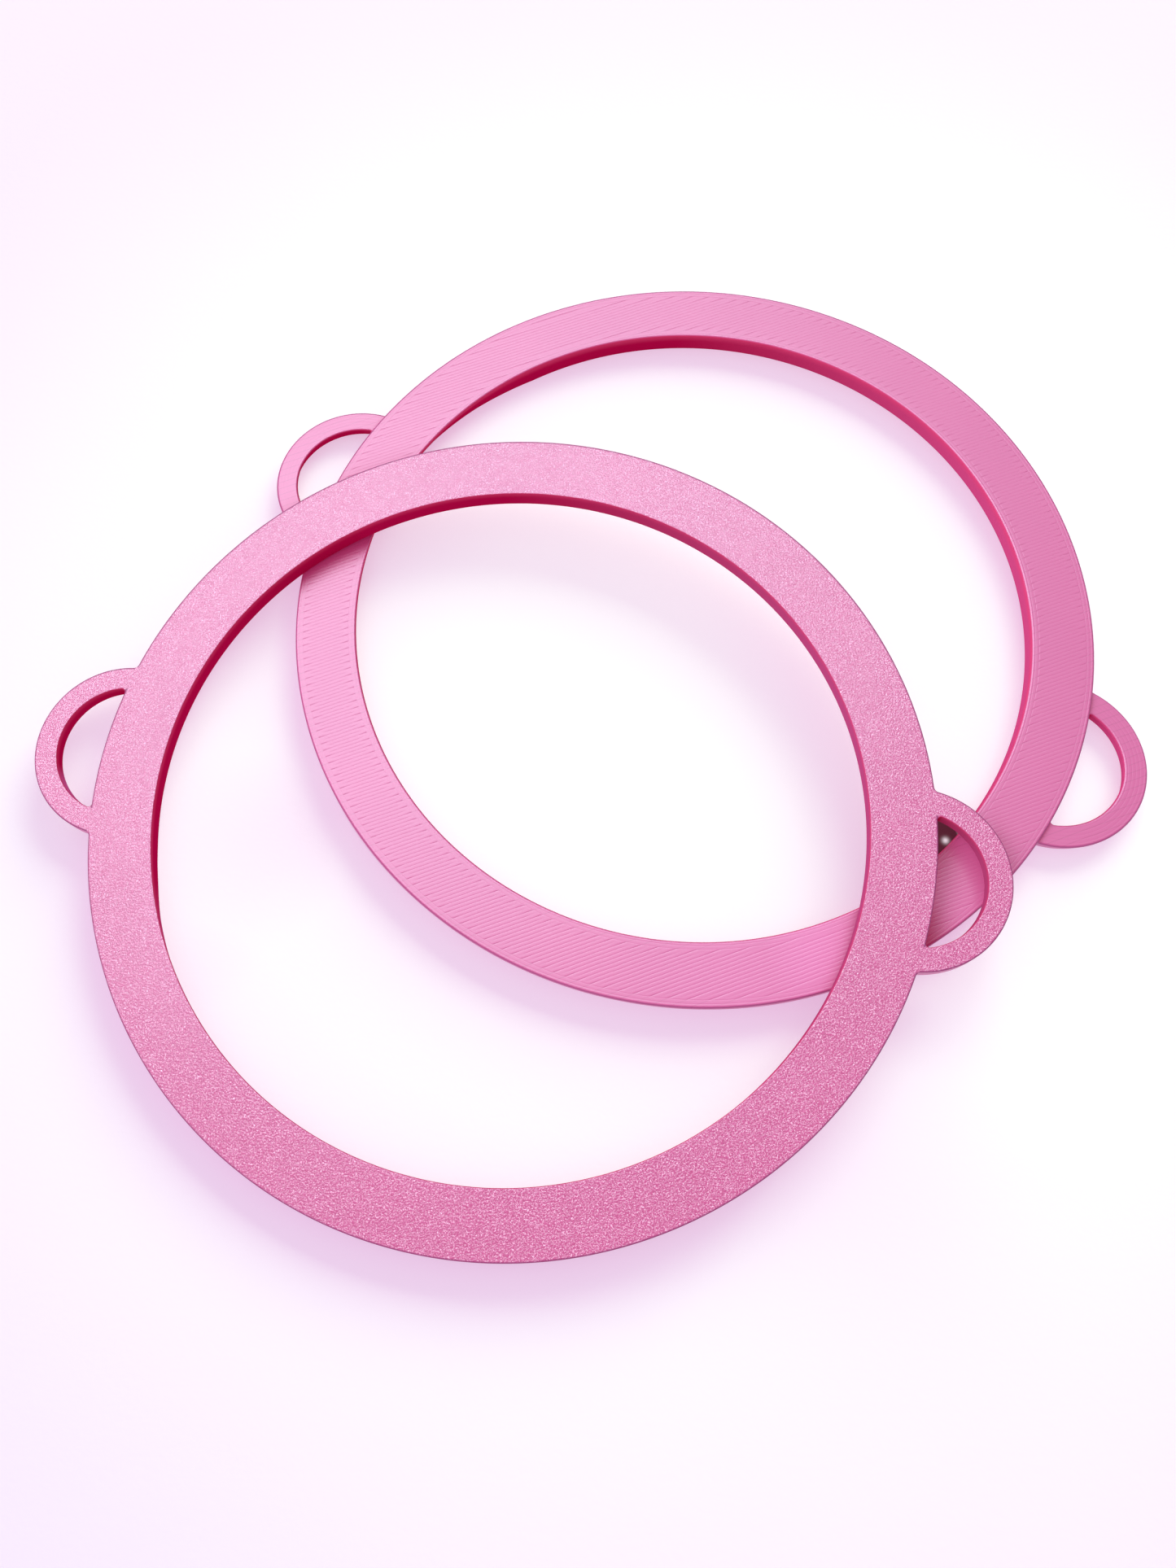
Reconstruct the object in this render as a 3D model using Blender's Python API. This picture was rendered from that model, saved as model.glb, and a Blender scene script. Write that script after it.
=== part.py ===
"""A matched pair of small flat hoops with two strap loops each.

Both hoops are the same part: a flat ring, printed in one piece, with two
half-round strap loops standing out from its rim on opposite sides. The loops
start on the same flat printed base as the ring but are not as tall, so the
ring's upper face stands a step above them.

The lower hoop lies flat with its printed base down. The upper hoop is turned
over, base up, and leans on it: its low rim, towards -X -Y, rests on the
ground and its band crosses over the lower hoop's band in two places.

Units are metres, +Z is up, and the origin is on the ground under the middle
of the pair's bounding box.
"""

import math

import bmesh
import bpy
from mathutils import Matrix, Vector

MM = 0.001

# ---- the hoop, in millimetres and degrees ---------------------------------
LAYER = 0.2                          # one printed layer

RING_OUTER_R = 90.0 / 2
RING_INNER_R = 76.2 / 2              # half the clear opening
RING_HEIGHT = 12 * LAYER
RING_CHAMFER = 0.3                   # on both edges of the upper face
RING_SEGMENTS = 120

STRAP_WIDTH = 2.5
LOOP_CENTRE_R = 43.0                 # the loops' arcs are struck from inside the band
LOOP_OUTER_R = 9.7
LOOP_INNER_R = LOOP_OUTER_R - STRAP_WIDTH
LOOP_HEIGHT = 9 * LAYER
LOOP_CHAMFER = 0.25
LOOP_SWEEP = 104.0                   # each way from the outermost point
LOOP_SEGMENTS = 44                   # evenly along one strap
LOOP_COUNT = 2
CORNER_FILLET = 0.6                  # where a strap runs into the rim, on both its sides

SHARP_ANGLE = 30.0                   # edges bent more than this are shaded sharp

# ---- how the pair lies, in millimetres and degrees ------------------------
# Azimuths are counter-clockwise from +X, seen from above.
LOWER_LOOP_AZIMUTH = -25.4
UPPER_LOOP_AZIMUTH = -10.65
# Middle of the upper hoop's upturned base, from the middle of the lower's base.
UPPER_CENTRE = (-20.79, -24.34, 4.48)
UPPER_LEAN = 2.645                   # tilt from level
UPPER_LEAN_AZIMUTH = -130.49         # direction of its low side

# ---- colours, linear RGBA -------------------------------------------------
PINK = (0.83, 0.24, 0.50, 1.0)
PINK_DEEP = (0.80, 0.21, 0.46, 1.0)


def clear_scene():
    for obj in list(bpy.data.objects):
        bpy.data.objects.remove(obj, do_unlink=True)


def print_material(name, colour, roughness):
    mat = bpy.data.materials.new(name)
    mat.use_nodes = True
    shader = mat.node_tree.nodes["Principled BSDF"]
    shader.inputs["Base Color"].default_value = colour
    shader.inputs["Roughness"].default_value = roughness
    return mat


# ---- swept bands ----------------------------------------------------------
def band_section(inner, outer, height, chamfer):
    """Cross-section of a band as (radius, height), chamfered along its upper edges."""
    return [
        (inner, 0.0),
        (outer, 0.0),
        (outer, height - chamfer),
        (outer - chamfer, height),
        (inner + chamfer, height),
        (inner, height - chamfer),
    ]


def band_mesh(name, centre_x, stations, closed):
    """Solid through the stations, each (angle, cross-section), swept about (centre_x, 0).

    A closed band joins its last station to its first; an open one gets end caps.
    """
    bm = bmesh.new()
    rows = [
        [
            bm.verts.new((
                (centre_x + radius * math.cos(angle)) * MM,
                radius * math.sin(angle) * MM,
                z * MM,
            ))
            for radius, z in section
        ]
        for angle, section in stations
    ]
    next_rows = rows[1:] + rows[:1] if closed else rows[1:]
    for here, there in zip(rows, next_rows):
        for j in range(len(here)):
            k = (j + 1) % len(here)
            bm.faces.new((here[j], there[j], there[k], here[k]))
    if not closed:
        bm.faces.new(rows[0])
        bm.faces.new(rows[-1])
    bmesh.ops.recalc_face_normals(bm, faces=bm.faces)
    mesh = bpy.data.meshes.new(name)
    bm.to_mesh(mesh)
    bm.free()
    return mesh


def ring_mesh():
    """The flat ring, the same cross-section all the way round."""
    section = band_section(RING_INNER_R, RING_OUTER_R, RING_HEIGHT, RING_CHAMFER)
    stations = [
        (2.0 * math.pi * i / RING_SEGMENTS, section)
        for i in range(RING_SEGMENTS)
    ]
    return band_mesh("ring", 0.0, stations, closed=True)


def flare(radius, angle):
    """How far a strap's side swells where it meets the rim: a fillet's arc."""
    x = LOOP_CENTRE_R + radius * math.cos(angle)
    y = radius * math.sin(angle)
    clearance = math.hypot(x, y) - RING_OUTER_R
    if clearance >= CORNER_FILLET:
        return 0.0
    depth = CORNER_FILLET - max(clearance, 0.0)
    return CORNER_FILLET - math.sqrt(CORNER_FILLET ** 2 - depth ** 2)


def loop_mesh():
    """One strap loop on the +X side, with both ends buried in the ring's band."""
    sweep = math.radians(LOOP_SWEEP)
    stations = []
    for i in range(LOOP_SEGMENTS + 1):
        angle = -sweep + 2.0 * sweep * i / LOOP_SEGMENTS
        inner = LOOP_INNER_R - flare(LOOP_INNER_R, angle)
        outer = LOOP_OUTER_R + flare(LOOP_OUTER_R, angle)
        stations.append((angle, band_section(inner, outer, LOOP_HEIGHT, LOOP_CHAMFER)))
    return band_mesh("strap_loop", LOOP_CENTRE_R, stations, closed=False)


# ---- the hoop -------------------------------------------------------------
def add_object(name, mesh, frame):
    obj = bpy.data.objects.new(name, mesh)
    obj.matrix_world = frame
    bpy.context.scene.collection.objects.link(obj)
    return obj


def hoop_mesh():
    """Ring and both loops joined into the one solid they are printed as."""
    ring = add_object("ring_blank", ring_mesh(), Matrix.Identity(4))
    blanks = [ring]
    strap = loop_mesh()
    for i in range(LOOP_COUNT):
        turn = Matrix.Rotation(2.0 * math.pi * i / LOOP_COUNT, 4, "Z")
        loop = add_object(f"loop_blank_{i + 1}", strap, turn)
        join = ring.modifiers.new(f"join_{i + 1}", "BOOLEAN")
        join.operation = "UNION"
        join.solver = "EXACT"
        join.object = loop
        blanks.append(loop)
    bpy.context.view_layer.update()
    graph = bpy.context.evaluated_depsgraph_get()
    hoop = bpy.data.meshes.new_from_object(ring.evaluated_get(graph))
    for blank in blanks:
        bpy.data.objects.remove(blank, do_unlink=True)
    hoop.name = "hoop"
    hoop.shade_smooth()
    hoop.set_sharp_from_angle(angle=math.radians(SHARP_ANGLE))
    return hoop


# ---- laying out the pair --------------------------------------------------
def flat_frame(azimuth):
    """Base down on the ground, loops along the azimuth."""
    return Matrix.Rotation(math.radians(azimuth), 4, "Z")


def leaning_frame(centre, lean, lean_azimuth, loop_azimuth):
    """Base up, the base's normal leaning by lean degrees towards lean_azimuth."""
    tilt = math.radians(lean)
    low = math.radians(lean_azimuth)
    turn = math.radians(loop_azimuth)
    normal = Vector((
        math.sin(tilt) * math.cos(low),
        math.sin(tilt) * math.sin(low),
        math.cos(tilt),
    ))
    # World +X laid into the tilted plane: the loops' azimuth is counted from it.
    across = Vector((1.0, 0.0, 0.0))
    across = (across - across.dot(normal) * normal).normalized()
    along = normal.cross(across)
    x_axis = math.cos(turn) * across + math.sin(turn) * along
    z_axis = -normal
    y_axis = z_axis.cross(x_axis)
    frame = Matrix((x_axis, y_axis, z_axis)).transposed().to_4x4()
    frame.translation = Vector(centre) * MM
    return frame


def place_hoop(name, mesh, frame, mat):
    mesh.materials.clear()
    mesh.materials.append(mat)
    return add_object(name, mesh, frame)


def centre_over_origin(objects):
    """Shift the objects in X and Y to bring their bounding box's middle over the origin."""
    bpy.context.view_layer.update()
    points = [obj.matrix_world @ vertex.co for obj in objects for vertex in obj.data.vertices]
    xs = [point.x for point in points]
    ys = [point.y for point in points]
    middle = Vector(((min(xs) + max(xs)) / 2.0, (min(ys) + max(ys)) / 2.0, 0.0))
    for obj in objects:
        obj.matrix_world = Matrix.Translation(-middle) @ obj.matrix_world
    bpy.context.view_layer.update()


def main():
    clear_scene()
    hoop = hoop_mesh()
    lower = place_hoop(
        "lower_hoop",
        hoop,
        flat_frame(LOWER_LOOP_AZIMUTH),
        print_material("pink_print_upper_face", colour=PINK, roughness=0.45),
    )
    upper = place_hoop(
        "upper_hoop",
        hoop.copy(),
        leaning_frame(
            centre=UPPER_CENTRE,
            lean=UPPER_LEAN,
            lean_azimuth=UPPER_LEAN_AZIMUTH,
            loop_azimuth=UPPER_LOOP_AZIMUTH,
        ),
        print_material("pink_print_base_face", colour=PINK_DEEP, roughness=0.5),
    )
    centre_over_origin([lower, upper])


main()
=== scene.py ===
"""Two small printed pink hoops, one lying on the other, on a white sheet at z = 0.

Each hoop is a flat ring with a strap-like loop on either side. The lower one has its
last printed layer up. The upper one is turned over, bed face up, lies towards -X and -Y
of the lower and leans on it.

A hoop is one closed shell with printed layers, rounded edges and its own normals, and
takes the place of its CAD solid. It is built in millimetres in its own frame: z = 0 is
the face printed on the bed, z = RING_HEIGHT the last layer, and the loops are on X.
"""

import math
from types import SimpleNamespace

import bpy
import numpy as np
from mathutils import Matrix, Vector
from mathutils.geometry import delaunay_2d_cdt


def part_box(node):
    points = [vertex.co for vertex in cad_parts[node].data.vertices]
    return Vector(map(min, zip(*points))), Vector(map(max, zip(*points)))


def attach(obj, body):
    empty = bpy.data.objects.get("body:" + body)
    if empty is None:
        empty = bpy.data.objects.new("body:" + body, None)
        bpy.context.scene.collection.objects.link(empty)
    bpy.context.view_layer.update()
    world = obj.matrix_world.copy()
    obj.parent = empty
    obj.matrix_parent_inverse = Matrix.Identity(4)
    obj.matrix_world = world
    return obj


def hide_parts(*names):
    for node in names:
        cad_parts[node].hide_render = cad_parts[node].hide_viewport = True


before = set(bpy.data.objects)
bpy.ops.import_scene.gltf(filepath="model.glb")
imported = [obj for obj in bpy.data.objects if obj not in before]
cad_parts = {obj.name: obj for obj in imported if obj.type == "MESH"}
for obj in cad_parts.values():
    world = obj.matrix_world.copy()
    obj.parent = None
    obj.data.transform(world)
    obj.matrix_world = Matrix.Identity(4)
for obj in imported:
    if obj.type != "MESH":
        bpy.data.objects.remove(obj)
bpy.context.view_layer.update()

MILLI = 0.001           # millimetres to metres

# ---- the hoop, as the CAD has it (mm) ---------------------------------------
RING_OUTER, RING_INNER, RING_HEIGHT = 45.0, 38.1, 2.4           # radii, height
LOOP_CENTRE, LOOP_OUTER, LOOP_INNER, LOOP_HEIGHT = 43.0, 9.7, 7.2, 1.8

# ---- printed detail (mm) ----------------------------------------------------
LAYER = 0.2
BEAD = 0.018            # how far each layer bulges
BEAD_SPAN = 0.95        # share of the half circle that a bead's profile uses
BEAD_FADE = 0.12        # height over which the beads fade out by a rounded edge
BASE_ROUND = 0.14       # edge of the bed face
TOP_ROUND = 0.27        # edge of the last layer
LOOP_ROUND = 0.26       # upper edge of the loops
FILLET_OUT, FILLET_IN = 0.6, 0.38       # where a strap meets the rim
STRAP_BLEND = LOOP_ROUND + 0.04         # distance off the rim where the profile is all strap
SHARED_HEIGHT = 1.4     # ring and straps have the same rows up to here
WALL_LOW, WALL_HIGH = BASE_ROUND, RING_HEIGHT - TOP_ROUND

# ---- spacing of the mesh ----------------------------------------------------
RING_STEP = math.radians(0.68)
STRAP_STEP_OUT, STRAP_STEP_IN = math.radians(3.0), math.radians(3.6)
FILLET_STEPS = 7

# ---- faint upright scar on the rim where each layer starts ------------------
SCAR_ANGLE, SCAR_WIDTH, SCAR_DEPTH = math.radians(201.0), 0.30, 0.03
SCAR_LOW, SCAR_HIGH = 0.2, 2.1
SCAR_WAVE = 37.0        # radians per mm of height

# ---- how the hoops lie (degrees, mm) ----------------------------------------
LOWER_AZIMUTH, UPPER_AZIMUTH = -25.4, -10.65    # direction of each hoop's loops
UPPER_OFFSET = (-20.79, -24.34, 4.48)           # upper hoop's origin from the lower's
LEAN, LEAN_AZIMUTH = 2.645, -130.49             # tilt of the upper hoop, side it dips to

# The walls are not quite square to the faces. These tables are (azimuth from the hoop's
# middle, how far the wall falls back from the edge that is uppermost as the pair lies).
LOWER_INNER_FALL = (
    (118.0, 0.0), (124.0, 0.28), (130.0, 0.62), (140.0, 1.02), (150.0, 1.00), (160.0, 0.86),
    (170.0, 0.64), (180.0, 0.42), (190.0, 0.22), (200.0, 0.06), (206.0, 0.0))
LOWER_RIM_FALL = (
    (212.0, 0.0), (230.0, 0.22), (245.0, 0.30), (258.0, 0.33), (270.0, 0.28), (280.0, 0.20),
    (290.0, 0.15), (305.0, 0.03), (310.0, 0.0))
UPPER_INNER_FALL = (
    (184.0, 0.0), (190.0, 0.10), (196.0, 0.40), (202.0, 0.52), (210.0, 0.50), (220.0, 0.44),
    (230.0, 0.38), (240.0, 0.30), (250.0, 0.22), (270.0, 0.12), (300.0, 0.04), (320.0, 0.0))
# The same for the straps: (inner wall, outer wall) at +X, then at -X.
LOWER_STRAP_FALL = ((0.40, 0.40), (0.66, 0.40))
UPPER_STRAP_FALL = ((0.0, 0.0), (0.0, 0.0))

# Values of the "wall" attribute.
FLAT, OUTER_WALL, INNER_WALL = 0.0, 0.5, 1.0


# =============================================================================
# Profile rows: (height, inset, normal outwards, normal upwards)
# =============================================================================
def bead(z):
    """Inset of a printed wall at height z and its slope: one bulge a layer."""
    place = 2.0 * ((z / LAYER) % 1.0) - 1.0
    on_joint = abs(abs(place) - 1.0) < 1e-6
    if on_joint:
        place = -1.0
    across = BEAD_SPAN * place
    bulge = math.sqrt(1.0 - across * across)
    fade = max(0.0, min(1.0, (z - WALL_LOW) / BEAD_FADE, (WALL_HIGH - z) / BEAD_FADE))
    inset = BEAD * (1.0 - bulge) * fade
    slope = 0.0 if on_joint else BEAD * BEAD_SPAN * across * (2.0 / LAYER) / bulge * fade
    return inset, slope


def wall_rows(low, high):
    """Rows above low, up to and including high if a layer's station falls there."""
    rows = []
    for layer in range(int(round(RING_HEIGHT / LAYER)) + 1):
        for part in (0.0, 0.2, 0.5, 0.8):
            z = (layer + part) * LAYER
            if low + 1e-6 < z < high - 1e-6 or abs(z - high) < 1e-6:
                inset, slope = bead(z)
                size = math.hypot(1.0, slope)
                rows.append((z, inset, 1.0 / size, slope / size))
    return rows


def quarter_turn(steps):
    """(cosine, sine) from 0 to 90 degrees."""
    angles = [math.pi / 2 * k / steps for k in range(steps + 1)]
    return [(math.cos(angle), math.sin(angle)) for angle in angles]


def base_rows(radius, steps):
    return [(radius - radius * cos, radius - radius * sin, sin, -cos)
            for cos, sin in quarter_turn(steps)]


def top_rows(radius, top, steps):
    return [(top - radius + radius * sin, radius - radius * cos, cos, sin)
            for cos, sin in quarter_turn(steps)]


SHARED_ROWS = base_rows(BASE_ROUND, 4) + wall_rows(BASE_ROUND + 0.01, SHARED_HEIGHT)
ring_middle = wall_rows(SHARED_HEIGHT, LOOP_HEIGHT)
LOOP_ROWS = SHARED_ROWS + top_rows(LOOP_ROUND, LOOP_HEIGHT, len(ring_middle) - 1)
RING_ROWS = (SHARED_ROWS + ring_middle + wall_rows(LOOP_HEIGHT, WALL_HIGH - 0.02)
             + top_rows(TOP_ROUND, RING_HEIGHT, 8))
STEP_ROW = len(LOOP_ROWS) - 1       # the row at the loops' upper face
LAST_ROW = len(RING_ROWS) - 1


# =============================================================================
# Plan of the hoop
# =============================================================================
def fillet_centre(from_ring, from_loop):
    """Point at these distances from the middles of the ring and of the loop at +X."""
    x = (from_ring * from_ring - from_loop * from_loop + LOOP_CENTRE ** 2) / (2 * LOOP_CENTRE)
    return x, math.sqrt(from_ring * from_ring - x * x)


OUTER_FILLET = fillet_centre(RING_OUTER + FILLET_OUT, LOOP_OUTER + FILLET_OUT)
INNER_FILLET = fillet_centre(RING_OUTER + FILLET_IN, LOOP_INNER - FILLET_IN)


def spread(start, end, step):
    """Even stations from start up to, but not including, end."""
    count = max(1, int(math.ceil(abs(end - start) / step - 1e-9)))
    return [start + (end - start) * k / count for k in range(count)]


def ring_angles():
    """Angles round the ring, and the number at which each of its sections starts:
    0 gap in the +X loop, 1 strap root, 2 rim at +Y, 3 root, 4 gap in the -X loop,
    5 root, 6 rim at -Y, 7 root. Entry 8 is the whole count."""
    outer, inner = [math.atan2(y, x) for x, y in (OUTER_FILLET, INNER_FILLET)]
    marks = [-inner, inner, outer, math.pi - outer, math.pi - inner,
             math.pi + inner, math.pi + outer, 2 * math.pi - outer, 2 * math.pi - inner]
    angles, starts = [], [0]
    for start, end in zip(marks, marks[1:]):
        angles += spread(start, end, RING_STEP)
        starts.append(len(angles))
    return angles, starts


ANGLES, START = ring_angles()
COUNT = len(ANGLES)


def strap_columns(outer):
    """Columns along a side of the +X strap, from rim to rim, with material on the left:
    (x, y, outward x, outward y, how far the column has become strap)."""
    columns = []
    if outer:
        side, radius, step = 1.0, LOOP_OUTER, STRAP_STEP_OUT
        fillet, (centre_x, centre_y) = FILLET_OUT, OUTER_FILLET
    else:
        side, radius, step = -1.0, LOOP_INNER, STRAP_STEP_IN
        fillet, (centre_x, centre_y) = FILLET_IN, INNER_FILLET
    reach = math.atan2(centre_y, centre_x - LOOP_CENTRE)

    def add(x, y, out_x, out_y):
        clear = math.hypot(x, y) - RING_OUTER
        columns.append((x, y, out_x, out_y, max(0.0, min(1.0, clear / STRAP_BLEND))))

    def corner(sign, order):
        y = centre_y * sign
        ring = math.atan2(-y, -centre_x)
        strap = math.atan2(-side * y, side * (LOOP_CENTRE - centre_x))
        turn = (strap - ring + math.pi) % (2 * math.pi) - math.pi
        for k in order:
            angle = ring + turn * k / FILLET_STEPS
            cos, sin = math.cos(angle), math.sin(angle)
            add(centre_x + fillet * cos, y + fillet * sin, -cos, -sin)

    corner(-side, range(FILLET_STEPS))
    for angle in spread(-side * reach, side * reach, step) + [side * reach]:
        cos, sin = math.cos(angle), math.sin(angle)
        add(LOOP_CENTRE + radius * cos, radius * sin, side * cos, side * sin)
    corner(side, reversed(range(FILLET_STEPS)))
    return columns


def fill(points, loops):
    """Triangles of a flat area bounded by loops, which are lists of point numbers. One is
    kept if a line out of its middle crosses the loops an odd number of times."""
    edges = [edge for loop in loops for edge in zip(loop, loop[1:] + loop[:1])]
    result = delaunay_2d_cdt([Vector(p) for p in points], edges, [], 0, 1e-7, True)
    triangles, originals = result[2], result[3]
    flat = np.array(points, float)
    start, end = [flat[[edge[k] for edge in edges]] for k in (0, 1)]
    kept = []
    for triangle in triangles:
        corners = [originals[v][0] for v in triangle]
        x, y = flat[corners].mean(0)
        spans = (start[:, 1] > y) != (end[:, 1] > y)
        low, high = start[spans], end[spans]
        crossing = low[:, 0] + (y - low[:, 1]) * (high[:, 0] - low[:, 0]) / (
            high[:, 1] - low[:, 1])
        if int((crossing > x).sum()) % 2:
            kept.append(corners)
    return kept


# =============================================================================
# Shell builder
# =============================================================================
class Shell:
    """Faces on keyed vertices, with a normal and a wall kind at every corner."""

    def __init__(self):
        self.index, self.points = {}, []
        self.faces, self.normals, self.kinds = [], [], []

    def vertex(self, key, point):
        if key not in self.index:
            self.index[key] = len(self.points)
            self.points.append(point)
        return self.index[key]

    def face(self, vertices, normals, kind):
        self.faces.append(vertices)
        self.normals.extend(normals)
        self.kinds.extend([kind] * len(vertices))

    def patch(self, vertex, normal, first, second, row, kind):
        """Quad between two columns, from row to the next one up."""
        corners = [(first, row), (second, row), (second, row + 1), (first, row + 1)]
        self.face([vertex(*c) for c in corners], [normal(*c) for c in corners], kind)

    def cap(self, rings, up):
        """Flat area bounded by rings of vertices; up is 1 or -1."""
        vertices, loops = [], []
        for ring in rings:
            loops.append(list(range(len(vertices), len(vertices) + len(ring))))
            vertices += ring
        for corners in fill([self.points[v][:2] for v in vertices], loops):
            self.face([vertices[k] for k in corners[::up]], [(0.0, 0.0, float(up))] * 3, FLAT)

    def mesh(self, name):
        mesh = bpy.data.meshes.new(name)
        mesh.from_pydata([tuple(c * MILLI for c in p) for p in self.points], [], self.faces)
        mesh.polygons.foreach_set("use_smooth", [True] * len(mesh.polygons))
        wall = mesh.attributes.new("wall", "FLOAT", "CORNER")
        wall.data.foreach_set("value", np.array(self.kinds, np.float32))
        mesh.update()
        mesh.normals_split_custom_set(self.normals)
        return mesh


class Hoop(Shell):
    """lean(angle, z, outer) gives a ring wall's extra setback and its slope."""

    def __init__(self, lean, strap_fall):
        super().__init__()
        self.lean, self.strap_fall = lean, strap_fall
        self.add_ring()
        sides = {(side, outer): self.add_strap(side, outer)
                 for side in (0, 1) for outer in (True, False)}
        self.add_loop_tops(sides)
        self.add_bed_face(sides)

    def ring_vertex(self, i, j, outer=True):
        i %= COUNT
        z, inset = RING_ROWS[j][:2]
        angle = ANGLES[i]
        setback = self.lean(angle, z, outer)[0]
        if outer:
            radius = RING_OUTER - inset - scar(angle, z) - setback
        else:
            radius = RING_INNER + inset + setback
        point = (radius * math.cos(angle), radius * math.sin(angle), z)
        return self.vertex((outer, i, j), point)

    def ring_normal(self, i, j, outer=True):
        z, _, out, up = RING_ROWS[j]
        angle = ANGLES[i % COUNT]
        up += out * self.lean(angle, z, outer)[1]
        size = math.hypot(out, up)
        out, up = (out if outer else -out) / size, up / size
        return (out * math.cos(angle), out * math.sin(angle), up)

    def inner_vertex(self, i, j):
        return self.ring_vertex(i, j, False)

    def inner_normal(self, i, j):
        return self.ring_normal(i, j, False)

    def ring_run(self, numbers, row):
        return [self.ring_vertex(i, row) for i in numbers]

    def add_ring(self):
        # below the loops' upper face there is no rim at the strap roots
        roots = {i for k in (1, 3, 5, 7) for i in range(START[k], START[k + 1])}
        for i in range(COUNT):
            for j in range(STEP_ROW if i in roots else 0, LAST_ROW):
                self.patch(self.ring_vertex, self.ring_normal, i, i + 1, j, OUTER_WALL)
            for j in range(LAST_ROW):
                self.patch(self.inner_vertex, self.inner_normal, i + 1, i, j, INNER_WALL)
            top = [self.inner_vertex(i, LAST_ROW), self.ring_vertex(i, LAST_ROW),
                   self.ring_vertex(i + 1, LAST_ROW), self.inner_vertex(i + 1, LAST_ROW)]
            self.face(top, [(0.0, 0.0, 1.0)] * 4, FLAT)

    def add_strap(self, side, outer):
        """Wall of one strap (side 0 at +X, 1 at -X); returns its bed and upper outlines."""
        columns = strap_columns(outer)
        last = len(columns) - 1
        flip = -1.0 if side else 1.0
        shift = 4 * side
        fall = self.strap_fall[side][1 if outer else 0]
        if outer:
            ends = {0: START[7 - shift], last: START[2 + shift]}
        else:
            ends = {0: START[1 + shift], last: START[shift]}

        def blended(j, share):
            return [ring + (loop - ring) * share
                    for ring, loop in zip(RING_ROWS[j], LOOP_ROWS[j])]

        def vertex(k, j):
            if k in ends:
                return self.ring_vertex(ends[k], j)
            x, y, out_x, out_y, share = columns[k]
            z, inset = blended(j, share)[:2]
            inset += fall * share * max(0.0, 1.0 - z / (LOOP_HEIGHT - LOOP_ROUND))
            point = (flip * (x - out_x * inset), flip * (y - out_y * inset), z)
            return self.vertex(("strap", side, outer, k, j), point)

        def normal(k, j):
            _, _, out_x, out_y, share = columns[k]
            out, up = blended(j, share)[2:]
            if j < len(SHARED_ROWS):
                up -= out * fall * share / LOOP_HEIGHT
            x, y = flip * out_x * out, flip * out_y * out
            size = math.sqrt(x * x + y * y + up * up)
            return (x / size, y / size, up / size)

        for k in range(last):
            for j in range(STEP_ROW):
                self.patch(vertex, normal, k, k + 1, j, OUTER_WALL if outer else INNER_WALL)
        return [[vertex(k, j) for k in range(last + 1)] for j in (0, STEP_ROW)]

    def add_loop_tops(self, sides):
        """The loops' upper faces, a step below the ring's."""
        for side in (0, 1):
            shift = 4 * side
            outline = sides[side, True][1]
            outline = outline + self.ring_run(
                range(START[2 + shift] - 1, START[1 + shift], -1), STEP_ROW)
            outline += sides[side, False][1]
            outline += self.ring_run(
                range(START[8 - shift] - 1, START[7 - shift], -1), STEP_ROW)
            self.cap([outline], up=1)

    def add_bed_face(self, sides):
        """One area under ring and loops together."""
        rim = self.ring_run(range(START[2], START[3]), 0)
        rim += sides[1, True][0]
        rim += self.ring_run(range(START[6] + 1, START[7]), 0)
        rim += sides[0, True][0][:-1]
        gaps = [self.ring_run(range(START[4 * side], START[4 * side + 1]), 0)
                + sides[side, False][0][:-1] for side in (0, 1)]
        middle = [self.inner_vertex(i, 0) for i in range(COUNT)]
        self.cap([rim] + gaps + [middle], up=-1)


def scar(angle, z):
    if not SCAR_LOW < z < SCAR_HIGH:
        return 0.0
    away = ((angle - SCAR_ANGLE + math.pi) % (2 * math.pi) - math.pi) * RING_OUTER
    return SCAR_DEPTH * math.exp(-(away / SCAR_WIDTH) ** 2) * (
        0.6 + 0.4 * math.sin(SCAR_WAVE * z))


def fall_at(table, azimuth):
    return float(np.interp(azimuth % 360.0, *zip(*table)))


def lower_lean(angle, z, outer):
    table = LOWER_RIM_FALL if outer else LOWER_INNER_FALL
    fall = fall_at(table, math.degrees(angle) + LOWER_AZIMUTH)
    return fall * max(0.0, 1.0 - z / WALL_HIGH), (-fall / WALL_HIGH if z < WALL_HIGH else 0.0)


def upper_lean(angle, z, outer):
    if outer:
        return 0.0, 0.0
    fall = fall_at(UPPER_INNER_FALL, UPPER_AZIMUTH - math.degrees(angle))
    span = WALL_HIGH - WALL_LOW
    rise = (z - WALL_LOW) / span
    return fall * max(0.0, min(1.0, rise)), (fall / span if 0.0 < rise < 1.0 else 0.0)


# =============================================================================
# Where the hoops lie
# =============================================================================
def frame_from(axes, origin):
    frame = Matrix(axes).transposed().to_4x4()
    frame.translation = origin
    return frame


def place_lower():
    low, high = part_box("lower_hoop")
    middle = (low + high) / 2
    turn = Matrix.Rotation(math.radians(LOWER_AZIMUTH), 4, "Z")
    return Matrix.Translation((middle.x, middle.y, low.z)) @ turn


def place_upper(lower):
    tilt, dip = math.radians(LEAN), math.radians(LEAN_AZIMUTH)
    normal = Vector((math.sin(tilt) * math.cos(dip), math.sin(tilt) * math.sin(dip),
                     math.cos(tilt)))
    across = Vector((1.0, 0.0, 0.0))
    across = (across - across.dot(normal) * normal).normalized()
    along = normal.cross(across)
    turn = math.radians(UPPER_AZIMUTH)
    x_axis = math.cos(turn) * across + math.sin(turn) * along
    z_axis = -normal        # turned over
    offset = Vector([c * MILLI for c in UPPER_OFFSET])
    return frame_from((x_axis, z_axis.cross(x_axis), z_axis), lower.translation + offset)


LOWER_FRAME = place_lower()
UPPER_FRAME = place_upper(LOWER_FRAME)


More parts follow.
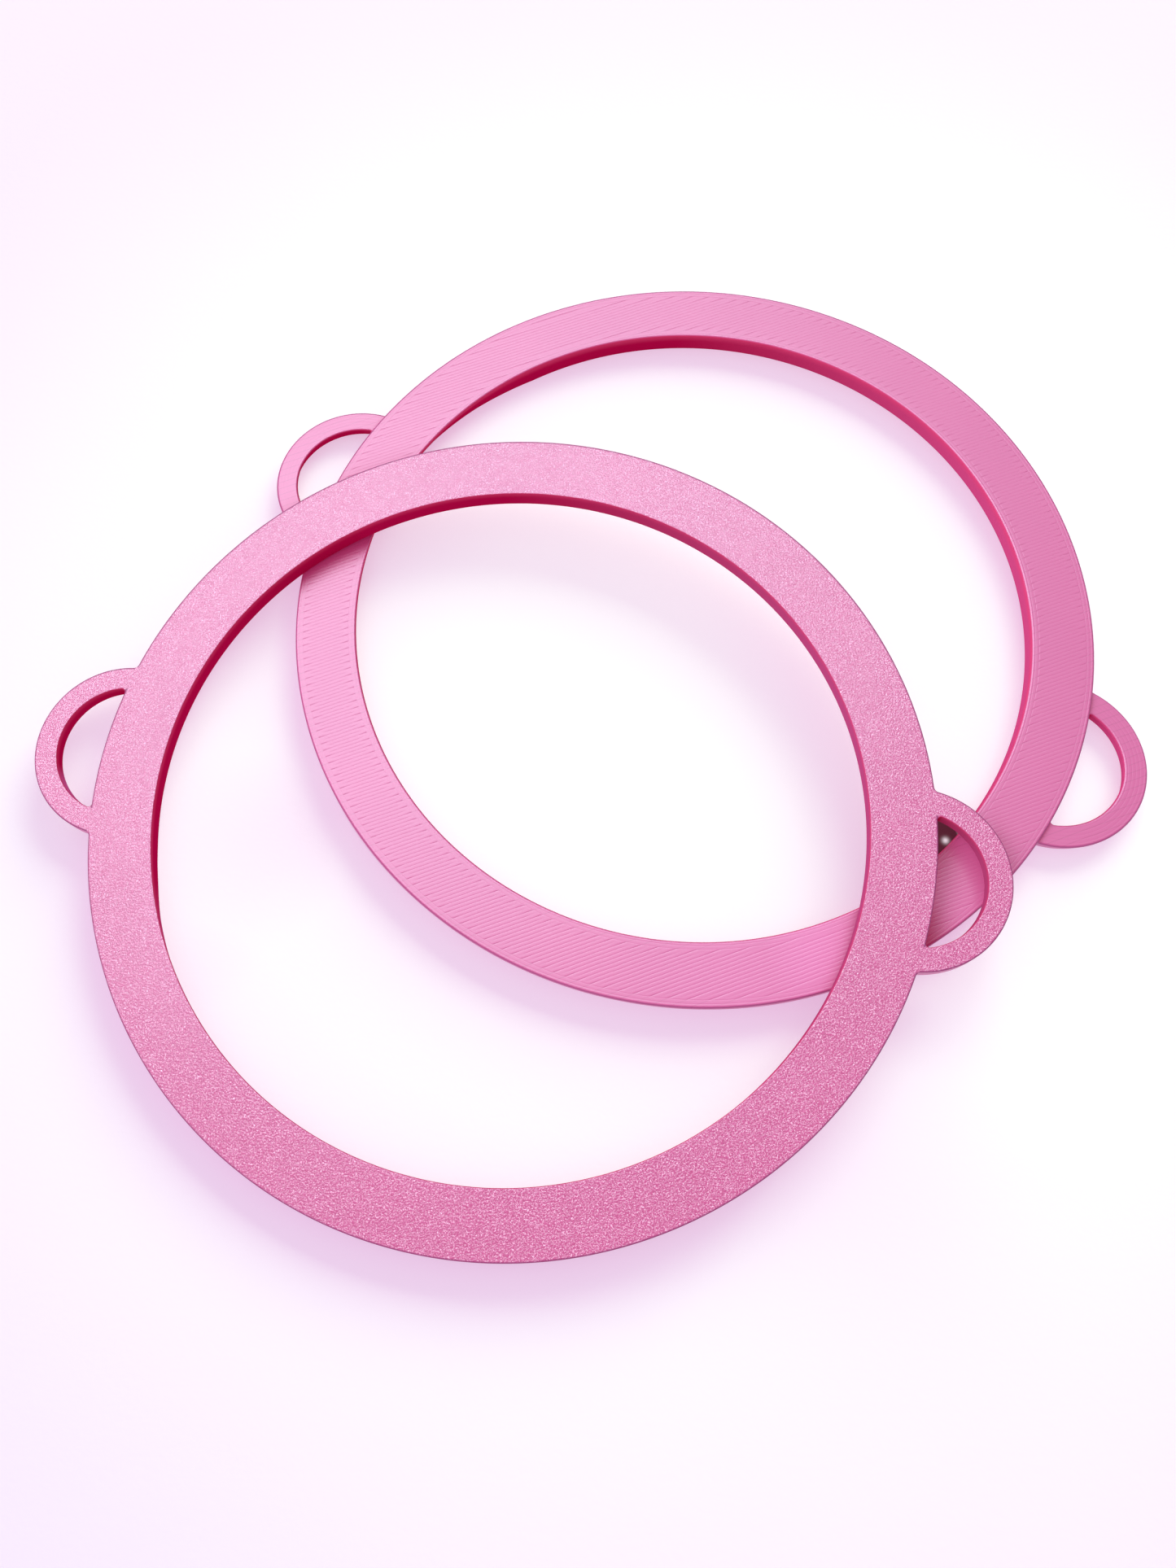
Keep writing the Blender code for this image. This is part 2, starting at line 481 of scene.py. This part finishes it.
# =============================================================================
# Shader helpers
# =============================================================================
def operators(operation):
    return (lambda self, other: self.material.math(operation, self, other),
            lambda self, other: self.material.math(operation, other, self))


class Value:
    """A shader output. Arithmetic on it adds Math nodes, with the operands in order."""
    __add__, __radd__ = operators("ADD")
    __sub__, __rsub__ = operators("SUBTRACT")
    __mul__, __rmul__ = operators("MULTIPLY")
    __truediv__, __rtruediv__ = operators("DIVIDE")

    def __init__(self, material, socket):
        self.material, self.socket = material, socket

    def __abs__(self):
        return self.material.math("ABSOLUTE", self)

    def ramp(self, low, high, start=0.0, end=1.0, kind="SMOOTHSTEP"):
        """Goes from start at low to end at high."""
        inputs = {"Value": self, "From Min": low, "From Max": high,
                  "To Min": start, "To Max": end}
        return self.material.out("ShaderNodeMapRange", "Result", inputs,
                                 interpolation_type=kind, clamp=True)

    def ramp_down(self, low, high):
        return self.ramp(low, high, start=1.0, end=0.0)


class Material:
    def __init__(self, name):
        self.data = bpy.data.materials.new(name)
        self.data.use_nodes = True
        self.tree = self.data.node_tree
        self.tree.nodes.clear()

    def node(self, kind, inputs=None, **settings):
        node = self.tree.nodes.new(kind)
        for name, value in settings.items():
            setattr(node, name, value)
        for key, value in (inputs or {}).items():
            if isinstance(value, Value):
                value = value.socket
            if isinstance(value, bpy.types.NodeSocket):
                self.tree.links.new(value, node.inputs[key])
            elif value is not None:
                node.inputs[key].default_value = value
        return node

    def out(self, kind, output, inputs=None, **settings):
        return Value(self, self.node(kind, inputs, **settings).outputs[output])

    def math(self, operation, first, second=None, clamp=False):
        return self.out("ShaderNodeMath", 0, {0: first, 1: second},
                        operation=operation, use_clamp=clamp)

    def vector(self, operation, first, second):
        return self.out("ShaderNodeVectorMath", 0, {0: first, 1: second}, operation=operation)

    def measure(self, operation, first, second=None):
        """A vector operation whose result is a number."""
        return self.out("ShaderNodeVectorMath", "Value", {0: first, 1: second},
                        operation=operation)

    def xyz(self, vector):
        node = self.node("ShaderNodeSeparateXYZ", {0: vector})
        return [Value(self, socket) for socket in node.outputs]

    def mix(self, factor, first, second):
        """Mix of two colours."""
        return self.out("ShaderNodeMix", 2, {0: factor, 6: first, 7: second}, data_type="RGBA")

    def blend(self, factor, off, on):
        """Mix of two numbers."""
        return self.out("ShaderNodeMix", 0, {0: factor, 2: off, 3: on}, data_type="FLOAT")

    def noise(self, point, scale, detail=2.0, roughness=0.5, distortion=0.0):
        inputs = {"Vector": point, "Scale": scale, "Detail": detail,
                  "Roughness": roughness, "Distortion": distortion}
        return self.out("ShaderNodeTexNoise", "Fac", inputs)

    def larger(self, first, second):
        return self.math("MAXIMUM", first, second)

    def hypot(self, first, second):
        return self.math("SQRT", first * first + second * second)

    def bell(self, offset):
        """1 at offset 0, falling off on both sides."""
        return self.math("EXPONENT", offset * offset * -1.0)

    def sawtooth(self, value):
        """-1 to 1 across each unit."""
        return self.math("FRACT", value) * 2.0 - 1.0

    def beads(self, distance, pitch, crown, depth):
        """Rounded lines side by side."""
        across = self.sawtooth(distance / pitch)
        square = across * across
        return crown - square * square * depth

    def surface(self, inputs):
        shader = self.node("ShaderNodeBsdfPrincipled", inputs)
        self.node("ShaderNodeOutputMaterial", {"Surface": shader.outputs[0]})
        return self.data


# =============================================================================
# Printed pink plastic
# =============================================================================
LINE_PITCH = 0.408              # printed lines on the last layer (mm)
OUTLINE_PITCH = 0.425           # the two outlines along each edge of it
LOOP_LINE_PITCH = 0.4167        # lines round the loops' upper faces
TOP_RELIEF, BED_RELIEF, BED_COAT_RELIEF, WALL_RELIEF = 0.0122, 0.012, 0.045, 0.012   # mm

TOP_PINKS = (0.535, 0.088, 0.266, 1.0), (0.556, 0.096, 0.277, 1.0)
BED_PINKS = (0.496, 0.058, 0.223, 1.0), (0.516, 0.065, 0.234, 1.0)
# painted shade in the grooves between printed lines
GROOVE_SHADE_PINK = (0.36, 0.050, 0.16, 1.0)
# painted light: lighter areas of the last layer
LIT_PATCH_PINK = (0.66, 0.145, 0.390, 1.0)
# painted shade in the pits between pebbles of the bed face
PIT_SHADE_PINK = (0.38, 0.035, 0.150, 1.0)
# painted highlight: bright glints on the bed grain
PAINTED_GLINT_PINK = (0.90, 0.50, 0.72, 1.0)
OUTER_PINK = (0.56, 0.150, 0.340, 1.0)
# painted shade: inner walls a deep crimson; the next colours are painted light on them
SHADED_INNER_CRIMSON = (0.38, 0.002, 0.050, 1.0)
INNER_LIT = (0.50, 0.085, 0.260, 1.0)
# painted light: lighter band towards the upper edge of inner walls
LIP_HIGHLIGHT_PINK = (0.62, 0.050, 0.150, 1.0)
# painted shade: dark line along the outer edges
RIM_SHADE = (0.24, 0.040, 0.14, 1.0)
# painted shade under and near the other hoop
COVERED_SHADE_PINK = (0.36, 0.012, 0.090, 1.0)

# What differs between the hoops: grain_shift moves the bed grain (mm); lit_minus_x_wall is the
# painted light colour of inner walls facing -X; lip is the height range of the painted lighter
# band on them, towards their upper edge; rim_shade_reach (mm) widens the painted dark rim line
# of shade towards world +Y; patches are painted lighter areas (painted light) of the last
# layer, as (x, y, radius, strength).
LOWER_LOOK = SimpleNamespace(
    grain_shift=13.0, lit_minus_x_wall=(0.50, 0.056, 0.185, 1.0),
    lip_highlight=dict(low=1.30, high=2.30), lip_highlight_strength=0.55, rim_shade_reach=0.11, rim_shade_strength=0.62,
    painted_light_patches=((29.0, -30.5, 7.0, 0.85), (24.0, -35.0, 13.0, 0.30), (40.5, -21.0, 4.5, 0.60)))
UPPER_LOOK = SimpleNamespace(
    grain_shift=0.0, lit_minus_x_wall=(0.40, 0.054, 0.172, 1.0),
    lip_highlight=dict(low=0.05, high=0.90, start=1.0, end=0.0), lip_highlight_strength=0.42,
    rim_shade_reach=0.05, rim_shade_strength=0.85, painted_light_patches=())


def locate(mat):
    """Where a shaded point lies on the hoop, in mm, and what sort of face it is on."""
    coords = mat.node("ShaderNodeTexCoord").outputs
    point = mat.out("ShaderNodeVectorMath", 0, {0: coords["Object"], "Scale": 1 / MILLI},
                    operation="SCALE")
    x, y, z = mat.xyz(point)
    up = mat.xyz(coords["Normal"])[2]
    top = up.ramp(low=0.55, high=0.95)
    bed = (up * -1.0).ramp(low=0.70, high=0.97)
    flat = mat.math("ADD", top, bed, clamp=True)
    wall = mat.out("ShaderNodeAttribute", "Fac", attribute_name="wall")
    radius = mat.hypot(x, y)
    from_inner, from_outer = radius - RING_INNER, RING_OUTER - radius
    return SimpleNamespace(
        point=point, x=x, y=y, z=z, up=up, top=top, bed=bed, flat=flat,
        inner=wall.ramp(low=0.55, high=0.95), radius=radius,
        loop_radius=mat.hypot(abs(x) - LOOP_CENTRE, y), from_outer=from_outer,
        edge=mat.math("MINIMUM", from_inner, from_outer),
        turn_out=from_outer.ramp_down(low=0.85, high=2.0),
        turn_in=from_inner.ramp_down(low=0.85, high=2.0),
        fine=mat.noise(point, scale=9.0, roughness=0.6))


def last_layer(mat, at):
    """Height and grooves of the last layer: straight lines at 45 degrees to the loops,
    turning back in pairs where they meet the outlines that follow each edge."""
    wobble = (mat.noise(at.point, scale=0.35, detail=1.0) - 0.5) * 0.10
    across = ((at.y - at.x) * 0.70710678 + wobble) / LINE_PITCH
    saw = mat.sawtooth(across)
    wide = saw * saw
    narrow = mat.math("POWER", wide, 4.0)
    odd = abs(mat.math("MODULO", mat.math("ROUND", across), 2.0))
    closed = mat.larger(odd * at.turn_out, (1.0 - odd) * at.turn_in)
    deepened = mat.larger((1.0 - odd) * at.turn_out, odd * at.turn_in)
    depth = (1.0 - closed * 0.9) + deepened * 0.8
    groove = narrow * depth
    lines = 1.0 - (wide * 0.55 + narrow * 0.45) * depth
    outlines = mat.beads(at.edge, OUTLINE_PITCH, crown=0.75, depth=0.7)
    ring = mat.blend(at.edge.ramp_down(low=0.80, high=0.92), off=lines, on=outlines)
    loop = mat.beads(at.loop_radius - LOOP_INNER, LOOP_LINE_PITCH, crown=0.6, depth=0.45)
    height = mat.blend(at.z.ramp_down(low=2.05, high=2.15), off=ring, on=loop)
    return height + at.fine * 0.12, groove


def bed_grain(mat, at, shift):
    """Pebble grain of a textured plate, with bright specks of painted highlight (glints) on
    the pebbles.
    """
    point = mat.vector("ADD", at.point, (shift, shift * 0.7, 0.0))
    pebble = mat.noise(point, scale=4.9, detail=1.2, distortion=0.25)
    pebble = pebble.ramp(low=0.36, high=0.66)
    glint_speck = mat.noise(point, scale=6.6, detail=1.5, roughness=0.55, distortion=0.6)
    sparse = mat.noise(point, scale=1.1, roughness=0.6)
    sparse = sparse.ramp(low=0.35, high=0.62, start=0.65)
    return pebble, glint_speck.ramp(low=0.52, high=0.66) * sparse * at.bed


def flat_colour(mat, at, look, groove, pebble, glint_speck):
    cloudy = mat.noise(at.point, scale=0.05).ramp(low=0.35, high=0.65)
    face = mat.mix(at.bed, mat.mix(cloudy, *TOP_PINKS), mat.mix(cloudy, *BED_PINKS))
    # painted shade in the grooves between printed lines, deeper where the lines turn at the
    # edges
    groove_shade = mat.larger(at.turn_out, at.turn_in) * 0.24 + 0.14
    face = mat.mix(groove * at.top * groove_shade, face, GROOVE_SHADE_PINK)
    # painted light: lighter areas of the last layer where more light falls
    painted_light = None
    for x, y, radius, strength in look.painted_light_patches:
        offset = mat.measure("DISTANCE", at.point, (x, y, WALL_HIGH)) / radius
        patch = mat.bell(offset) * strength
        painted_light = mat.larger(painted_light, patch) if painted_light else patch
    if painted_light:
        face = mat.mix(painted_light * at.top, face, LIT_PATCH_PINK)
    # painted shade in the pits between pebbles
    pit_shade = pebble.ramp(low=0.6, high=0.0) * (at.bed * 0.42)
    face = mat.mix(pit_shade, face, PIT_SHADE_PINK)
    # painted highlight: bright glint specks on the pebbles
    return mat.mix(glint_speck * 0.72, face, PAINTED_GLINT_PINK)


def wall_colour(mat, at, look):
    """Inner walls are painted crimson as shade, with painted light: pinker where they face +Y
    and a little +X, lighter where they face -X and towards their upper edge.
    """
    normal = mat.out("ShaderNodeNewGeometry", "Normal")
    facing = mat.measure("DOT_PRODUCT", normal, (0.50, 0.866, 0.0))
    deep = mat.mix(facing.ramp(low=0.62, high=0.90), SHADED_INNER_CRIMSON, INNER_LIT)
    normal_x = mat.xyz(mat.out("ShaderNodeNewGeometry", "Normal"))[0]
    deep = mat.mix(normal_x.ramp(low=0.0, high=-0.95, kind="LINEAR"), deep, look.lit_minus_x_wall)
    deep = mat.mix(at.z.ramp(**look.lip_highlight) * look.lip_highlight_strength, deep, LIP_HIGHLIGHT_PINK)
    return mat.mix(at.inner, OUTER_PINK, deep)


def rim_shade_line(mat, at, look, frame):
    """Thin line of painted shade along the turn of each outer edge."""
    rooted = (at.loop_radius.ramp(low=LOOP_INNER - 0.2, high=LOOP_INNER + 0.1)
              * at.loop_radius.ramp_down(low=LOOP_OUTER - 0.1, high=LOOP_OUTER + 0.2))
    world_y = frame.to_3x3().inverted() @ Vector((0.0, 1.0, 0.0))
    behind = mat.measure("DOT_PRODUCT", at.point, tuple(world_y)) / at.radius
    inward = behind.ramp(low=-0.2, high=0.8, end=look.rim_shade_reach)
    ring = (at.from_outer - inward).ramp(low=0.24, high=0.06) * (1.0 - rooted * at.bed)
    ring = ring * at.from_outer.ramp(low=-0.12, high=-0.02)
    strap = (LOOP_OUTER - at.loop_radius - inward).ramp(low=0.24, high=0.06)
    strap = strap * at.radius.ramp(low=RING_OUTER, high=RING_OUTER + 0.3)
    return mat.larger(ring, strap) * abs(at.up).ramp(low=0.15, high=0.50)


def cover_shade_weight(mat, at, frame, cover):
    """Strength of the painted shade under the hoop that covers this one. On its +X side the
    shade follows the band and the strap; elsewhere it is even."""
    local = frame.inverted()
    centre = local @ cover.translation
    world_x = local.to_3x3() @ Vector((1.0, 0.0, 0.0))
    offset = mat.vector("SUBTRACT", at.point, (centre.x / MILLI, centre.y / MILLI, 0.0))
    away = mat.hypot(*mat.xyz(offset)[:2])
    right = mat.measure("DOT_PRODUCT", offset, tuple(world_x)).ramp(low=10.0, high=20.0)
    band = away.ramp(low=RING_INNER - 1.5, high=RING_INNER + 2.0, start=0.12)
    beyond = (away.ramp(low=RING_OUTER + 0.4, high=RING_OUTER + 4.0, start=1.0, end=0.12)
              + away.ramp(low=RING_OUTER + 6.6, high=RING_OUTER + 7.4, end=0.70))
    return mat.blend(right, off=0.85, on=band * beyond * 0.97)


def pink_print(name, look, frame, cover):
    """cover is the frame of a hoop lying on this one, or None."""
    mat = Material(name)
    at = locate(mat)
    top_height, groove = last_layer(mat, at)
    pebble, glint_speck = bed_grain(mat, at, look.grain_shift)
    bed_height = pebble + glint_speck * 0.5
    wall_height = mat.noise(at.point, scale=5.0, detail=3.0, roughness=0.6) * 0.35
    wall_part = wall_height * ((1.0 - at.flat) * WALL_RELIEF)

    def relief(bed_depth):
        height = top_height * (at.top * TOP_RELIEF) + (
            bed_height * (at.bed * bed_depth) + wall_part)
        return mat.out("ShaderNodeBump", 0,
                       {"Height": height, "Strength": 1.0, "Distance": MILLI})

    face = flat_colour(mat, at, look, groove, pebble, glint_speck)
    base = mat.mix(at.flat, wall_colour(mat, at, look), face)
    rim = rim_shade_line(mat, at, look, frame)
    # painted shade: dark line along the turn of the outer edges
    base = mat.mix(rim * look.rim_shade_strength, base, RIM_SHADE)
    # painted shade: where the other hoop is close, the colour is darkened to a deep pink,
    # since the light left there is what has been through the pink
    open_sky = mat.out("ShaderNodeAmbientOcclusion", "AO", {"Distance": 0.0045}, samples=8)
    weight = cover_shade_weight(mat, at, frame, cover) if cover else 0.85
    shade = open_sky.ramp(low=0.98, high=0.40) * (at.flat * weight)
    base = mat.mix(shade, base, COVERED_SHADE_PINK)

    top_gloss = mat.blend(mat.larger(rim, shade), off=0.64, on=0.15)
    flat_gloss = mat.blend(at.bed, off=top_gloss, on=mat.blend(rim, off=0.40, on=0.10))
    return mat.surface({
        "Base Color": base,
        "Roughness": mat.blend(at.flat, off=0.42, on=0.36 + at.fine * 0.12),
        "IOR": 1.47,
        "Coat Weight": at.bed * mat.blend(rim, off=0.85, on=0.0),
        "Coat Roughness": 0.12,
        "Coat Normal": relief(BED_COAT_RELIEF),
        "Specular IOR Level": mat.blend(at.inner * (1.0 - at.flat), off=flat_gloss, on=0.0),
        "Normal": relief(BED_RELIEF),
        # painted light: a faint emission of the pink stands in for the light that the thin
        # filament lets through, so shaded parts stay pink
        "Emission Color": base,
        "Emission Strength": 0.14,
    })


def add_hoop(body, frame, lean, strap_fall, look, cover):
    node = body + "_hoop"
    mesh = Hoop(lean, strap_fall).mesh(node + "_print")
    piece = bpy.data.objects.new(node + "_print", mesh)
    bpy.context.scene.collection.objects.link(piece)
    piece.matrix_world = frame
    mesh.materials.append(pink_print("pink_filament_" + body, look, frame, cover))
    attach(piece, body)
    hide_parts(node)
    return piece


lower_hoop = add_hoop("lower", LOWER_FRAME, lower_lean,
                      LOWER_STRAP_FALL, LOWER_LOOK, cover=UPPER_FRAME)
upper_hoop = add_hoop("upper", UPPER_FRAME, upper_lean,
                      UPPER_STRAP_FALL, UPPER_LOOK, cover=None)


# =============================================================================
# Table (metres)
# =============================================================================
TABLE_SIZE, TABLE_DROP = 6.0, 0.00001
# near and far colours: the sheet is painted darker and more lavender further out, as light
# falling off
TABLE_COLOURS = (0.45, 0.445, 0.45, 1.0), (0.43, 0.415, 0.44, 1.0)      # near, far
GLOW_COLOURS = (0.62, 0.51, 0.62, 1.0), (0.51, 0.33, 0.56, 1.0)
# colour of the sheet's emission in painted shadow
SHADOW_TINT = (0.50, 0.18, 0.48, 1.0)
# painted shade: dark colours for the pocket of sheet under a strap
POCKET_SHADE_COLOUR, POCKET_SHADE_GLOW = (0.035, 0.002, 0.008, 1.0), (0.05, 0.002, 0.012, 1.0)

# Rings of painted pink shadow on the sheet: (under the upper hoop, offset from the hoop's
# middle, width, strength, weaker towards +Y).
SHADOW_RINGS = (
    (False, (-0.0030, -0.0052), 0.0064, 0.34, False),
    (True, (-0.0020, -0.0040), 0.0066, 0.26, True),
    (False, (-0.0050, -0.0070), 0.0150, 0.24, False),
    (True, (0.0060, 0.0060), 0.0120, 0.17, False),
)
# Pools of painted pink shadow: (x, y, radius, strength).
SHADOW_POOLS = (
    (-0.0340, -0.0130, 0.0120, 0.50),
    (0.0270, -0.0510, 0.0150, 0.32),
    (-0.0400, -0.0270, 0.0080, 0.25),
)
POCKET_SHADE_POOL = (0.0377, -0.0141, 0.0024, 2.2)
POCKET_LIGHT_SPOT = (0.0386, -0.0145, 0.00034, 0.80)


def pool(mat, where, x, y, radius, strength):
    offset = mat.vector("SUBTRACT", where, (x, y, 0.0))
    return mat.bell(mat.measure("LENGTH", offset) / radius) * strength


def shadow_strength(mat, where, near):
    """How strongly painted pink shadow lies on the sheet round the hoops."""
    middle_radius = (RING_OUTER + RING_INNER) / 2 * MILLI
    total = None
    for upper, (shift_x, shift_y), width, strength, weaker in SHADOW_RINGS:
        middle = (UPPER_FRAME if upper else LOWER_FRAME).translation
        centre = (middle.x + shift_x, middle.y + shift_y, 0.0)
        x, y, _ = mat.xyz(mat.vector("SUBTRACT", where, centre))
        radius = mat.hypot(x, y)
        ring = mat.bell((radius - middle_radius) / width) * strength
        if weaker:
            ring = ring * (y / radius).ramp(low=0.45, high=0.90, start=1.0, end=0.25)
        if upper:
            ring = ring * near
        total = mat.larger(total, ring) if total else ring
    for spot in SHADOW_POOLS:
        total = mat.larger(total, pool(mat, where, *spot) * near)
    return total


def table_material():
    """White translucent sheet that glows evenly, so the parts leave only soft shadows on it,
    with painted pink shadows round the hoops. It is painted darker and lavender further out,
    as light falling off."""
    mat = Material("white_table")
    where = mat.out("ShaderNodeTexCoord", "Object")
    far = mat.measure("LENGTH", mat.vector("SUBTRACT", where, (0.012, 0.004, 0.0)))
    cloud = mat.noise(where, scale=9.0)
    falloff_and_cloud = mat.math("ADD", far.ramp(low=0.035, high=0.125), (cloud - 0.5) * 0.35, clamp=True)
    # what the upper hoop does to the sheet fades as that hoop is lifted off it
    above = mat.xyz(mat.out("ShaderNodeTexCoord", "Object", object=upper_hoop))[2]
    near = above.ramp_down(low=0.012, high=0.030)
    base = mat.mix(falloff_and_cloud, *TABLE_COLOURS)
    light = mat.mix(shadow_strength(mat, where, near), mat.mix(falloff_and_cloud, *GLOW_COLOURS), SHADOW_TINT)
    # painted shade: the pocket of sheet closed in by a strap and both rings is painted dark,
    # as it gets hardly any light as long as the strap is above it; a small painted light spot
    # is left in it
    pocket = mat.math("MINIMUM", pool(mat, where, *POCKET_SHADE_POOL), 0.985)
    spot = pool(mat, where, *POCKET_LIGHT_SPOT)
    pocket = mat.math("SUBTRACT", pocket, spot, clamp=True) * near
    grain = mat.noise(where, scale=1400.0)
    return mat.surface({
        "Base Color": mat.mix(pocket, base, POCKET_SHADE_COLOUR),
        "Roughness": 0.85,
        "Specular IOR Level": mat.blend(pocket, off=0.10, on=0.0),
        "Emission Color": mat.mix(pocket, light, POCKET_SHADE_GLOW),
        "Emission Strength": 1.0,
        "Normal": mat.out("ShaderNodeBump", 0,
                          {"Height": grain, "Strength": 0.15, "Distance": 0.0001}),
    })


def add_table():
    half = TABLE_SIZE / 2
    mesh = bpy.data.meshes.new("table")
    corners = [(-half, -half, 0), (half, -half, 0), (half, half, 0), (-half, half, 0)]
    mesh.from_pydata(corners, [], [(0, 1, 2, 3)])
    sheet = bpy.data.objects.new("table", mesh)
    sheet.location = (0.0, 0.0, -TABLE_DROP)
    mesh.materials.append(table_material())
    bpy.context.scene.collection.objects.link(sheet)
    return sheet


# =============================================================================
# Light and camera
# =============================================================================
def softbox(name, place, size, radiance, colour):
    """Area light aimed at the origin."""
    data = bpy.data.lights.new(name, "AREA")
    data.shape = "RECTANGLE"
    data.size, data.size_y = size
    data.energy = radiance * math.pi * size[0] * size[1]
    data.color = colour
    lamp = bpy.data.objects.new(name, data)
    lamp.location = place
    lamp.rotation_euler = (-Vector(place)).to_track_quat("-Z", "Y").to_euler()
    bpy.context.scene.collection.objects.link(lamp)
    return lamp


def placed(azimuth, elevation, distance):
    turn, rise = math.radians(azimuth), math.radians(elevation)
    level = distance * math.cos(rise)
    return (level * math.cos(turn), level * math.sin(turn), distance * math.sin(rise))


def only(name, objects):
    collection = bpy.data.collections.new(name)
    for item in objects:
        collection.objects.link(item)
    return collection


def add_lights(table):
    """The shadows on the sheet and the light on the hoops are set apart: one light reaches
    only the sheet, two reach only the hoops, and the sheen only makes highlights."""
    sheet = only("sheet_only", [table])
    hoops = only("hoops_only", [lower_hoop, upper_hoop])
    key_place = placed(azimuth=64.0, elevation=25.0, distance=1.6)
    hoop_place = placed(azimuth=172.0, elevation=50.0, distance=1.3)
    hoop_size, hoop_colour = (0.70, 0.70), (1.0, 0.985, 1.0)
    # name, place, size, radiance, colour, what it lights, what alone casts shadows
    for name, place, size, radiance, colour, receivers, blockers in (
        ("key_on_sheet", key_place, (1.30, 0.80), 14.0, (0.66, 1.0, 0.66), sheet, None),
        ("key_on_hoops", hoop_place, hoop_size, 3.6, hoop_colour, hoops, None),
        ("fill_on_hoops", hoop_place, hoop_size, 4.0, hoop_colour, hoops, sheet),
    ):
        lamp = softbox(name, place, size, radiance, colour)
        lamp.visible_glossy = False
        lamp.light_linking.receiver_collection = receivers
        if blockers:
            lamp.light_linking.blocker_collection = blockers
    sheen = softbox("sheen", place=(-0.14, 0.375, 0.75), size=(0.80, 0.53), radiance=12.6,
                    colour=(0.72, 0.88, 1.0))
    sheen.visible_diffuse = False


def set_world(scene):
    world = bpy.data.worlds.new("studio")
    scene.world = world
    world.use_nodes = True
    sky = world.node_tree.nodes["Background"]
    sky.inputs["Color"].default_value = (1.0, 0.97, 1.0, 1.0)
    sky.inputs["Strength"].default_value = 0.64
    scene.view_settings.view_transform = "Standard"
    scene.view_settings.look = "None"
    scene.view_settings.exposure = 0.0
    scene.view_settings.gamma = 1.0


CAMERA_OFFSET = (-14.707, -66.776, 131.370)     # from the lower hoop's origin (mm)
CAMERA_RIGHT = (0.99967012, -0.00264892, -0.02554662)
CAMERA_FORWARD = (-0.02322504, 0.33143879, -0.94319082)


def add_camera(scene):
    data = bpy.data.cameras.new("camera")
    camera = bpy.data.objects.new("camera", data)
    scene.collection.objects.link(camera)
    data.sensor_fit = "VERTICAL"
    data.sensor_height = 36.0
    data.lens = 28.991676
    data.shift_x, data.shift_y = 0.03478983, 0.005163466
    data.clip_start, data.clip_end = 0.002, 20.0
    back = -Vector(CAMERA_FORWARD).normalized()
    up = back.cross(Vector(CAMERA_RIGHT).normalized()).normalized()
    right = up.cross(back).normalized()
    offset = Vector([c * MILLI for c in CAMERA_OFFSET])
    camera.matrix_world = frame_from((right, up, back), LOWER_FRAME.translation + offset)
    scene.camera = camera


add_lights(add_table())
set_world(bpy.context.scene)
add_camera(bpy.context.scene)

bpy.context.view_layer.update()
